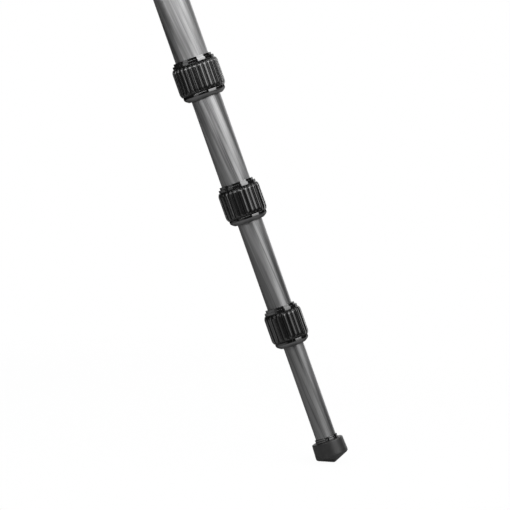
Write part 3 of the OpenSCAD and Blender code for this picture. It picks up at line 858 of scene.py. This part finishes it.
def add_lock_socket(scene, leg, lock):
    """A lock's two polished rings with its threaded spigot, and its split collet."""
    locks, form, place = scene.tripod_locks, leg_lock_form(scene, lock), lock_place(leg, lock)
    node = f"leg_{leg}_lock_{lock}_socket"
    seat, bore = form.tube + GLUE_GAP, form.slide + locks.collet_wall + GLUE_GAP
    first, second = form.tube + locks.ring_1_over, form.tube + locks.ring_2_over
    profile = rounded(
        (seat, 0, THIN_EDGE), (first, 0, CRISP_EDGE), (first, locks.ring_height, CRISP_EDGE),
        (second, locks.ring_height, CRISP_EDGE), (second, form.rings, CRISP_EDGE),
        (form.spigot, form.rings, 0), (form.spigot, form.spigot_to, EDGE),
        (bore, form.spigot_to, THIN_EDGE), (bore, locks.tube_seat, 0), (seat, locks.tube_seat, 0),
    )
    thread = threaded(form.spigot, form.spigot - THREAD_DEPTH, locks.thread_pitch, form.rings, form.spigot_to)
    socket = turned(refined(profile, locks.thread_pitch / THREAD_STEPS), FEWER_SEGMENTS, thread)
    add_piece(f"{node}_rings", [socket], place, node, black_anodised())
    thick, thin = form.slide + locks.collet_wall, form.slide + locks.collet_wall / 2
    inner, split = form.slide + SLIDE_GAP, EDGE / form.slide
    profile = rounded((inner, form.collet_from, 0), (thick, form.collet_from, 0),
                      (thick, form.collet_bend, 0), (thin, form.collet_to, 0), (inner, form.collet_to, 0))
    collet = turned(profile, FEWER_SEGMENTS, start=split, sweep=FULL_TURN - 2 * split)
    add_piece(f"{node}_collet", [collet], place, node, moulded_nylon())


def add_collar(scene, form, place, node):
    """A lock's nut: its core under the grip, the polished band, and the taper, whose radius falls by the
    POWER of the share of the taper's height."""
    locks, throat = scene.tripod_locks, form.slide + AIR_GAP
    lip = throat + LIP_WALL
    share = np.linspace(0, 1, CURVE_POINTS)[1:-1, None]
    radius = form.band - (form.band - lip) * share ** POWER
    taper = np.hstack((radius, form.taper_from + locks.taper_height * share))
    shoulder, bore = form.slide + locks.collet_wall + THREAD_GAP, form.spigot + THREAD_GAP
    top, thin = form.rings + SLIDE_GAP, form.slide + locks.collet_wall / 2 + THREAD_GAP
    profile = rounded(
        (bore, top, THIN_EDGE), (form.core, top, SMALL_EDGE), (form.core, form.band_from, 0),
        (form.band, form.band_from, locks.band_round), (form.band, form.taper_from, FINE_EDGE),
        *((radius, height, 0) for radius, height in taper),
        (lip, form.end, SMALL_EDGE), (throat, form.end, SMALL_EDGE), (throat, form.collet_to + EDGE, 0),
        (thin, form.collet_to + EDGE, 0), (shoulder, form.collet_bend, 0),
        (shoulder, form.spigot_to + EDGE, 0), (bore, form.spigot_to + EDGE, 0),
    )

    def matt(local):
        """The taper below the band."""
        return ease(local[:, 2], form.taper_from - THIN_EDGE, form.taper_from + SMALL_EDGE)

    add_piece(f"{node}_nut", [turned(profile)], place, node, lock_metal(), mask=matt)


def add_grip(scene, form, place, node, count):
    """A ribbed rubber grip. Its ends draw in by the POWER of the distance to its full radius. Each groove
    is a smooth hollow round a line: the depth falls with the distance to that line, as ease(). Between
    the grooves each rib is rounded: it falls by the square of the distance to its middle over twice its
    radius."""
    locks = scene.tripod_locks
    low, high, width = form.rings + AIR_GAP, form.band_from - SLIDE_GAP, locks.groove_width / 2
    share = np.linspace(0, 1, SHOULDER_POINTS)[:, None]
    rise = form.grip - locks.draw_in * (1 - share) ** POWER
    top, bottom = (np.hstack((rise, end + side * locks.shoulder * share))
                   for end, side in ((low, 1), (high, -1)))
    top[0, 1], bottom[0, 1] = low + SMALL_EDGE, high - SMALL_EDGE
    inner, lip = form.core + GLUE_GAP, top[0, 0] - SOFT_EDGE
    profile = np.vstack(([[inner, low], [lip, low]], top, bottom[::-1], [[lip, high], [inner, high]]))
    profile = refined(profile, GRIP_STEP)
    first, last = low + locks.groove_margin + width, form.grip_to - locks.groove_margin - width

    def ribs(radius, height, angle):
        """The radius less the depth of the groove or of the rib's round, whichever is deeper."""
        half = math.pi / count  # angle from the middle of a groove to the middle of a rib
        across = form.grip * (np.mod(angle + half, 2 * half) - half)
        along = np.maximum(np.maximum(first - height, height - last), 0)
        hollow = 1 - ease(np.hypot(across, along), GROOVE_FLOOR * width, GROOVE_EDGE * width)
        crown = (form.grip * half - np.abs(across)) ** 2 / (2 * locks.rib_round) * (1 - ease(along, 0, width))
        outside = ease(radius, form.core + SMALL_EDGE, form.core + RUBBER_SKIN)
        depth = np.maximum(locks.groove_depth * hollow, np.minimum(crown, locks.groove_depth))
        return radius - depth * outside

    def crown(local):
        """Where hands rub: near the full radius, and clear of the drawn-in upper end."""
        radius, from_end = np.hypot(local[:, 0], local[:, 1]), (local[:, 2] - low) / locks.shoulder
        return ease(radius, form.grip - RUB_FROM, form.grip - SOFT_EDGE) * ease(from_end, 0.5, 0.9)

    grip = turned(profile, GROOVE_SEGMENTS * count, ribs)
    add_piece(f"{node}_rubber", [grip], place, node, grip_rubber(), mask=crown)


def add_foot(scene, leg):
    """A turned ferrule with its plug and threaded stud, and the rubber foot screwed on to it."""
    feet, tubes, place = scene.tripod_feet, scene.tripod_tubes, leg_place(leg)
    top, tip, _ = extent(f"leg_{leg}_foot", place)
    node = f"leg_{leg}_tube_4"
    start, stud_end = top - feet.ferrule_height, top + feet.stud_depth
    plug = tube_radius(tubes, 4) - tubes.wall - GLUE_GAP
    flange = tube_radius(tubes, 4) + feet.ferrule_over
    waist = (start + top) / 2
    profile = rounded(
        (0, start - feet.plug_length, 0), (plug, start - feet.plug_length, EDGE), (plug, start, 0),
        (flange, start, SOFT_EDGE), (flange, waist - NOTCH, THIN_EDGE), (flange - NOTCH, waist, THIN_EDGE),
        (flange, waist + NOTCH, THIN_EDGE), (flange, top, SOFT_EDGE), (feet.stud_radius, top, 0),
        (feet.stud_radius, stud_end, EDGE), (0, stud_end, 0),
    )
    thread = threaded(feet.stud_radius, feet.stud_radius - THREAD_DEPTH, feet.stud_pitch, top, stud_end)
    ferrule = turned(refined(profile, feet.stud_pitch / THREAD_STEPS), FEWER_SEGMENTS, thread)
    add_piece(f"leg_{leg}_ferrule", [ferrule], place, node, black_anodised())
    hole, rim = feet.stud_radius + GLUE_GAP, top + feet.height
    hole_end = stud_end + STUD_ROOM
    profile = rounded(
        (0, hole_end, 0), (hole, hole_end, SMALL_EDGE), (hole, top, SMALL_EDGE),
        (feet.top_radius, top, feet.top_round), (feet.radius, rim, feet.rim_round),
        (feet.tip_radius, tip - EDGE / 2, SOFT_EDGE), (0, tip, 0),
    )

    def worn(local):
        """More and more towards the tip."""
        return ease(local[:, 2], rim - SCUFFED_FROM, tip)

    foot = turned(refined(profile, FOOT_STEP))
    add_piece(f"leg_{leg}_foot_rubber", [foot], place, f"leg_{leg}_foot", foot_rubber(),
              mask=worn)


class TRIPOD_OT_leg_tubes(bpy.types.Operator):
    """Add the carbon tubes of all legs with their plugs and guide bushes"""

    bl_idname = "tripod.leg_tubes"
    bl_label = "Leg Tubes"

    def execute(self, context):
        for leg, number in product(LEGS, TUBES):
            add_leg_tube(context.scene, leg, number)
        return {"FINISHED"}


class TRIPOD_OT_lock_sockets(bpy.types.Operator):
    """Add the ringed sockets and the collets of all leg locks"""

    bl_idname = "tripod.lock_sockets"
    bl_label = "Lock Sockets"

    def execute(self, context):
        for leg, lock in product(LEGS, LOCKS):
            add_lock_socket(context.scene, leg, lock)
        return {"FINISHED"}


class TRIPOD_OT_lock_collars(bpy.types.Operator):
    """Add the metal nuts of the leg locks and the column lock"""

    bl_idname = "tripod.lock_collars"
    bl_label = "Lock Collars"

    def execute(self, context):
        scene = context.scene
        for leg, lock in product(LEGS, LOCKS):
            add_collar(scene, leg_lock_form(scene, lock), lock_place(leg, lock), f"leg_{leg}_collar_{lock}")
        add_collar(scene, column_lock_form(scene), column_lock_place(), "column_collar")
        return {"FINISHED"}


class TRIPOD_OT_rubber_grips(bpy.types.Operator):
    """Add the ribbed rubber grips of the leg locks and the column lock"""

    bl_idname = "tripod.rubber_grips"
    bl_label = "Rubber Grips"

    def execute(self, context):
        scene = context.scene
        counts = scene.tripod_locks.grooves
        for leg, lock in product(LEGS, LOCKS):
            add_grip(scene, leg_lock_form(scene, lock), lock_place(leg, lock), f"leg_{leg}_grip_{lock}",
                     counts[lock - 1])
        add_grip(scene, column_lock_form(scene), column_lock_place(), "column_grip", counts[3])
        return {"FINISHED"}


class TRIPOD_OT_feet(bpy.types.Operator):
    """Add the ferrules and the rubber feet"""

    bl_idname = "tripod.feet"
    bl_label = "Feet"

    def execute(self, context):
        for leg in LEGS:
            add_foot(context.scene, leg)
        return {"FINISHED"}


class TRIPOD_OT_castings(bpy.types.Operator):
    """Add the spider, the yokes and the head plate with rounded cast edges"""

    bl_idname = "tripod.castings"
    bl_label = "Castings"

    def execute(self, context):
        bevel, lock = context.scene.tripod_head.bevel, column_lock_place()

        def rings(local):
            """The column lock's two rings, which are turned and polished."""
            return (local[:, 2] > -EDGE / 2) * 1.0

        add_casting("spider_casting", "spider", coated_casting(), bevel / 2, lock, rings)
        for leg in LEGS:
            node = f"leg_{leg}_yoke"
            add_casting(f"{node}_casting", node, coated_casting(), bevel)
        add_casting("head_plate", "top_plate", plate_coating(), bevel / 2)
        return {"FINISHED"}


class TRIPOD_OT_latches(bpy.types.Operator):
    """Add the angle latches"""

    bl_idname = "tripod.latches"
    bl_label = "Angle Latches"

    def execute(self, context):
        for leg in LEGS:
            add_casting(f"leg_{leg}_angle_latch", f"leg_{leg}_latch", satin_grey(),
                        context.scene.tripod_head.bevel / 2)
        return {"FINISHED"}


class TRIPOD_OT_fasteners(bpy.types.Operator):
    """Add the hinge bolts and the set screws"""

    bl_idname = "tripod.fasteners"
    bl_label = "Fasteners"

    def execute(self, context):
        bevel = context.scene.tripod_head.bevel / 2
        add_casting("hinge_bolts_steel", "hinge_bolts", turned_steel(), bevel)
        add_casting("set_screws_steel", "set_screws", turned_steel(), bevel / 2)
        return {"FINISHED"}


class TRIPOD_OT_bubble_level(bpy.types.Operator):
    """Add the bubble level with its bezel, liquid, bubble and mark"""

    bl_idname = "tripod.bubble_level"
    bl_label = "Bubble Level"

    def execute(self, context):
        head = context.scene.tripod_head
        low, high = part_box("bubble_level")
        place = UPRIGHT.at(((low.x + high.x) / 2, (low.y + high.y) / 2, low.z))
        tall, outer = high.z - low.z, head.level_radius
        inner, shelf = 0.78 * outer, 0.75 * tall
        bezel = rounded((0, 0, 0), (outer, 0, EDGE), (outer, tall, WIDE_EDGE), (inner, tall, SOFT_EDGE),
                        (inner, shelf, 0), (0, shelf, 0))
        self.add("bezel", bezel, place, black_anodised())
        # The liquid's window: over a quarter turn its radius follows the sine and its height the cosine
        share = np.linspace(0, 1, CURVE_POINTS)
        height = shelf + (tall - EDGE - shelf) * (0.6 + 0.4 * np.cos(share * math.pi / 2))
        dome = np.stack((inner * 0.98 * np.sin(share * math.pi / 2), height), axis=-1)
        liquid = np.vstack((dome, [[dome[-1, 0], shelf + MERGE * 10], [0, shelf + MERGE * 10]]))
        # The liquid's mask falls from half its radius out to its rim, where painted shade darkens it
        self.add("liquid", liquid, place, level_liquid(), (0.5 * inner, inner))
        # The bubble: the same over half a turn, which gives a flattened ball
        bubble, top = 0.42 * inner, tall - EDGE
        middle, half = top - 0.0001, 0.00025  # height of the bubble's middle, and half its own height
        cap = np.stack((bubble * np.sin(share * math.pi), middle + half * np.cos(share * math.pi)), axis=-1)
        cap[[0, -1], 0] = 0
        self.add("bubble", cap, place, level_bubble(), (0.4 * bubble, bubble), 48)
        ring = ring_profile(1.18 * bubble, 1.3 * bubble, top - SOFT_EDGE, top)
        self.add("mark", ring, place, moulded_nylon())
        return {"FINISHED"}

    def add(self, name, profile, place, material, middle=None, segments=SMALL_SEGMENTS):
        """Adds a turned piece of the level. Its mask falls from 1 to 0 between the two radii of middle."""
        mask = middle and (lambda local: 1 - ease(np.hypot(local[:, 0], local[:, 1]), *middle))
        add_piece(f"bubble_level_{name}", [turned(profile, segments)], place, "bubble_level",
                  material, mask=mask)


class TRIPOD_OT_column(bpy.types.Operator):
    """Add the centre column's tube, its sleeve and its end cap"""

    bl_idname = "tripod.column"
    bl_label = "Centre Column"

    def execute(self, context):
        tubes, head = context.scene.tripod_tubes, context.scene.tripod_head
        radius, (start, stop, _) = tubes.column_diameter / 2, extent("column_tube", UPRIGHT)
        shell = tube_shell(radius, tubes.column_wall, start, stop, tubes.end_round)
        add_piece("column_tube_carbon", [shell], UPRIGHT, "column_tube", carbon_fibre(),
                  grain_twist=GRAIN_TWIST)
        add_casting("column_sleeve_nylon", "column_sleeve", moulded_nylon(), EDGE / 2)
        bottom, top, _ = extent("column_end_cap", UPRIGHT)
        brim, plug = radius + head.cap_over, radius - tubes.column_wall - GLUE_GAP
        slope = 0.002  # height and width of the cap's lower bevel
        hole, cup = head.hook_wire + AIR_GAP, head.hook_head + 0.002
        floor = bottom + head.cap_floor
        profile = rounded(
            (hole, bottom, SOFT_EDGE), (brim - slope, bottom, 0), (brim, bottom + slope, 2 * EDGE),
            (brim, start, EDGE), (plug, start, 0), (plug, top, EDGE), (cup, top, SOFT_EDGE),
            (cup, floor, 0), (hole, floor, SMALL_EDGE),
        )
        add_piece("column_end_cap_turned", [turned(profile)], UPRIGHT, "column_end_cap",
                  black_anodised())
        return {"FINISHED"}


class TRIPOD_OT_head_screw(bpy.types.Operator):
    """Add the head screw with its cut thread"""

    bl_idname = "tripod.head_screw"
    bl_label = "Head Screw"

    def execute(self, context):
        head = context.scene.tripod_head
        low, high, _ = extent("head_stud", UPRIGHT)
        crest, shank = head.screw_radius, head.shank_radius
        root = crest - SCREW_THREAD * head.screw_pitch
        point = 0.001  # bevel of the screw's end
        profile = rounded((0, low, 0), (shank, low, EDGE), (shank, 0, 0), (crest, 0, 0),
                          (crest, high - point, 0), (crest - point, high, 0), (0, high, 0))
        thread = threaded(crest, root, head.screw_pitch, 0, high + head.screw_pitch)
        screw = turned(refined(profile, head.screw_pitch / (2 * THREAD_STEPS)), FEWER_SEGMENTS, thread)
        add_piece("head_screw_steel", [screw], UPRIGHT, "head_stud", turned_steel())
        return {"FINISHED"}


class TRIPOD_OT_bag_hook(bpy.types.Operator):
    """Add the swivelling bag hook, bent from round wire"""

    bl_idname = "tripod.bag_hook"
    bl_label = "Bag Hook"

    def execute(self, context):
        head = context.scene.tripod_head
        bottom, *_ = extent("column_end_cap", UPRIGHT)
        seat = bottom + head.cap_floor + EDGE
        bend_top = bottom - head.hook_neck
        first, last = math.radians(90), math.radians(-200)
        neck, bend, cap = 6, 72, 8  # steps along the neck, the bend and the wire's round end
        # The wire's middle line: down the neck, round the bend, and on along its end's tangent
        along = np.concatenate((np.full(neck, first), np.linspace(first, last, bend), np.full(cap, last)))
        x, z = head.hook_bend * np.cos(along), bend_top - head.hook_bend + head.hook_bend * np.sin(along)
        z[:neck] += np.linspace(seat + head.hook_head_height / 2 - bend_top, 0, neck, endpoint=False)
        over = np.concatenate((np.zeros(neck + bend), np.linspace(0, math.pi / 2, cap + 1)[1:]))
        x += head.hook_wire * np.sin(over) * np.sin(last)
        z -= head.hook_wire * np.sin(over) * np.cos(last)
        wire = head.hook_wire * np.cos(over)
        # Round that line, the wire: its radius times outward cos a + sideways sin a
        centre = np.stack((x, 0 * x, z), axis=-1)
        outward = np.stack((np.cos(along), 0 * along, np.sin(along)), axis=-1)
        outward[:neck + 1] = (1, 0, 0)
        turn = np.linspace(0, FULL_TURN, SMALL_SEGMENTS // 2, endpoint=False)[:, None]
        ring = outward[:, None] * np.cos(turn) + np.array((0, 1, 0)) * np.sin(turn)
        points = (centre[:, None] + wire[:, None, None] * ring).reshape(-1, 3)
        faces = grid_faces(len(along), len(turn), False, True).tolist() + [list(range(len(turn)))]
        disc = ring_profile(0, head.hook_head, seat, seat + head.hook_head_height, EDGE)
        shells = [(points, faces), turned(disc, SMALL_SEGMENTS)]
        add_piece("bag_hook_steel", shells, UPRIGHT, "hook", turned_steel())
        return {"FINISHED"}


# The soft lights, which stand round the first leg: angle from the camera in degrees, positive to the right,
# distance from the leg, heights along the leg from its hinge at which the light starts and ends, width, and
# the setting for its radiance with its share of that. The key and the fill light fade towards the floor.
LIGHTS = (
    ("key_light", 48, 1.5, -0.4, 0.24, 1.22, "key", 1.0),
    ("key_light_middle", 48, 1.5, 0.24, 0.42, 1.22, "key", 0.48),
    ("key_light_low", 48, 1.5, 0.42, 0.6, 1.22, "key", 0.35),
    ("key_light_edge", 48, 1.5, 0.6, 0.78, 1.22, "key", 0.2),
    ("key_light_floor", 48, 1.5, 0.78, 1.15, 1.22, "key", 0.08),
    ("high_light", -20, 0.4, 0.1, 0.3, 0.55, "high", 1.0),
    ("side_light", 88, 1.2, -0.6, 0.15, 0.9, "side", 1.0),
    ("fill_light", -44.5, 1.5, 0.24, 0.42, 0.83, "fill", 1.0),
    ("fill_light_low", -44.5, 1.5, 0.42, 0.6, 0.83, "fill", 0.35),
    ("fill_light_edge", -44.5, 1.5, 0.6, 0.85, 0.83, "fill", 0.15),
    ("back_light", 162, 1.8, -0.4, 0.8, 0.7, "back", 1.0),
)

# Degrees: where the surround is white in reflections, as a turn from the camera's forward direction, and the
# angles from there up to which it is white and from which it is dark
WHITE_TURN = -18
WHITE_TO = 30
DARK_FROM = 42

FLOOR_TONE = 0.36
VEIL = 0.88  # how clear the floor is to the camera
GLOW = 0.09  # what it then adds to the white behind it


def aimed(thing, at, right, back):
    """Puts a camera or a lamp somewhere, with its right side and its back towards two directions."""
    turn = Matrix((right, back.cross(right), back)).transposed().to_4x4()
    turn.translation = at
    thing.matrix_world = turn


def soft_light(name, centre, facing, along, width, height, radiance):
    """A rectangular soft light that faces a point. Its power gives each point of it the radiance."""
    light = bpy.data.lights.new(name, "AREA")
    light.shape, light.size, light.size_y = "RECTANGLE", width, height
    light.energy = radiance * math.pi * width * height
    lamp = linked(name, light)
    back = (centre - facing).normalized()
    aimed(lamp, centre, along.cross(back).normalized(), back)
    lamp.visible_camera = False


class TRIPOD_OT_studio(bpy.types.Operator):
    """Add the camera, the pale floor, the soft lights and the white surround"""

    bl_idname = "tripod.studio"
    bl_label = "Studio"

    def execute(self, context):
        scene, studio = context.scene, context.scene.tripod_studio
        leg = leg_place(1)
        forward = Vector((math.sin(studio.yaw) * math.cos(studio.pitch),
                          math.cos(studio.yaw) * math.cos(studio.pitch), -math.sin(studio.pitch)))
        right = Vector((math.cos(studio.yaw), -math.sin(studio.yaw), 0))
        camera = linked("camera", bpy.data.cameras.new("camera"))
        aimed(camera, Vector(leg.origin) + Vector(studio.offset), right, -forward)
        camera.data.sensor_width, camera.data.lens = 36, studio.lens
        scene.camera = camera
        self.add_floor(studio)
        self.add_lights(studio, leg, forward)
        self.add_surround(studio, forward)
        scene.view_settings.view_transform = "Standard"
        return {"FINISHED"}

    def add_floor(self, studio):
        """A round floor, a grid of radius and angle. To the camera it is a thin veil over the white surround
        that still takes a soft shadow and fades out towards the rim, so a leg that reaches below it in some
        pose isn't hidden."""
        low, high = CAD_BOX
        middle = (low + high) / 2
        turn = np.linspace(0, FULL_TURN, FEWER_SEGMENTS, endpoint=False)
        radius = np.linspace(0.001, studio.floor_radius, 9)[:, None]  # nine rings round a tiny hole
        points = np.stack((middle.x + radius * np.cos(turn), middle.y + radius * np.sin(turn),
                           low.z + 0 * radius * turn), axis=-1)
        mesh = bpy.data.meshes.new("floor")
        faces = grid_faces(len(radius), len(turn), False, True)[:, ::-1]
        mesh.from_pydata(points.reshape(-1, 3).tolist(), [], faces.tolist())
        floor = linked("floor", mesh)
        material = bpy.data.materials.new("pale_floor")
        graph = Graph(material)
        seen, = graph.rays("Camera")
        paper = graph.node("BsdfDiffuse", sockets={"Color": grey(FLOOR_TONE)})
        clear = graph.node("BsdfTransparent")
        veil = graph.node("MixShader", sockets={0: seen * VEIL, 1: paper, 2: clear})
        glow = graph.node("Emission", sockets={"Color": grey(1.0), "Strength": seen * GLOW})
        top = graph.node("AddShader", sockets={0: veil, 1: glow})
        x, y, _ = graph.parts(graph.place())
        from_middle = ((x - middle.x) ** 2 + (y - middle.y) ** 2) ** 0.5
        rim = from_middle.over(0.5 * studio.floor_radius, studio.floor_radius)
        faded = graph.node("MixShader", sockets={0: seen * rim, 1: top, 2: clear})
        behind = graph.node("NewGeometry", out="Backfacing")
        shader = graph.node("MixShader", sockets={0: behind, 1: faded, 2: clear})
        graph.node("OutputMaterial", sockets={"Surface": shader})
        mesh.materials.append(material)

    def add_lights(self, studio, leg, forward):
        """The soft lights round the first leg."""
        down = Vector(leg.axes[2])
        front = (-forward - down * (-forward).dot(down)).normalized()
        right = front.cross(down).normalized()
        for name, degrees, distance, start, end, width, setting, share in LIGHTS:
            angle = math.radians(degrees)
            facing = Vector(leg.origin) + down * (start + end) / 2
            centre = facing + distance * (math.cos(angle) * front + math.sin(angle) * right)
            soft_light(name, centre, facing, down, width, end - start, share * getattr(studio, setting))

    def add_surround(self, studio, forward):
        """White to the camera. In reflections, white behind the object and dark elsewhere."""
        world = bpy.data.worlds.new("surround")
        bpy.context.scene.world = world
        graph = Graph(world)
        direction = graph.node("TexCoord", out="Generated")
        middle = Matrix.Rotation(math.radians(WHITE_TURN), 3, "Z") @ forward
        ahead = graph.node("VectorMath", {"operation": "DOT_PRODUCT"}, {0: direction, 1: tuple(middle)},
                           out="Value")
        behind = ahead.over(math.cos(math.radians(DARK_FROM)), math.cos(math.radians(WHITE_TO)))
        camera, glossy, through = graph.rays("Camera", "Glossy", "Transmission")
        mirror = glossy.or_above(through)
        reflected = studio.dark + (1 - studio.dark) * behind
        strength = camera + (1 - camera) * (mirror * reflected + (1 - mirror) * studio.around)
        shader = graph.node("Background", sockets={"Color": grey(1.0), "Strength": strength})
        graph.node("OutputWorld", sockets={"Surface": shader})


GROUPS = {
    "tripod_tubes": TubeSizes, "tripod_locks": LockSizes, "tripod_feet": FootSizes,
    "tripod_head": HeadSizes, "tripod_finishes": Finishes, "tripod_studio": StudioSettings,
}
OPERATORS = (
    TRIPOD_OT_leg_tubes, TRIPOD_OT_lock_sockets, TRIPOD_OT_lock_collars, TRIPOD_OT_rubber_grips,
    TRIPOD_OT_feet, TRIPOD_OT_castings, TRIPOD_OT_latches, TRIPOD_OT_fasteners, TRIPOD_OT_bubble_level,
    TRIPOD_OT_column, TRIPOD_OT_head_screw, TRIPOD_OT_bag_hook, TRIPOD_OT_studio,
)


class TRIPOD_PT_builder(bpy.types.Panel):
    """The tripod's settings and the buttons that build it"""

    bl_idname = "TRIPOD_PT_builder"
    bl_label = "Camera Tripod"
    bl_space_type = "VIEW_3D"
    bl_region_type = "UI"
    bl_category = "Tripod"

    def draw(self, context):
        for operator in OPERATORS:
            self.layout.operator(operator.bl_idname)
        for group, kind in GROUPS.items():
            box = self.layout.box()
            for name in kind.__annotations__:
                box.prop(getattr(context.scene, group), name)


def register():
    for kind in (*GROUPS.values(), *OPERATORS, TRIPOD_PT_builder):
        bpy.utils.register_class(kind)
    for name, kind in GROUPS.items():
        setattr(bpy.types.Scene, name, PointerProperty(type=kind))


def unregister():
    for name in GROUPS:
        delattr(bpy.types.Scene, name)
    for kind in (TRIPOD_PT_builder, *OPERATORS, *GROUPS.values()):
        bpy.utils.unregister_class(kind)


def main():
    """Builds the whole tripod and its studio."""
    register()
    for operator in OPERATORS:
        group, name = operator.bl_idname.split(".")
        getattr(getattr(bpy.ops, group), name)()
    bpy.context.view_layer.update()


if __name__ == "__main__":
    main()
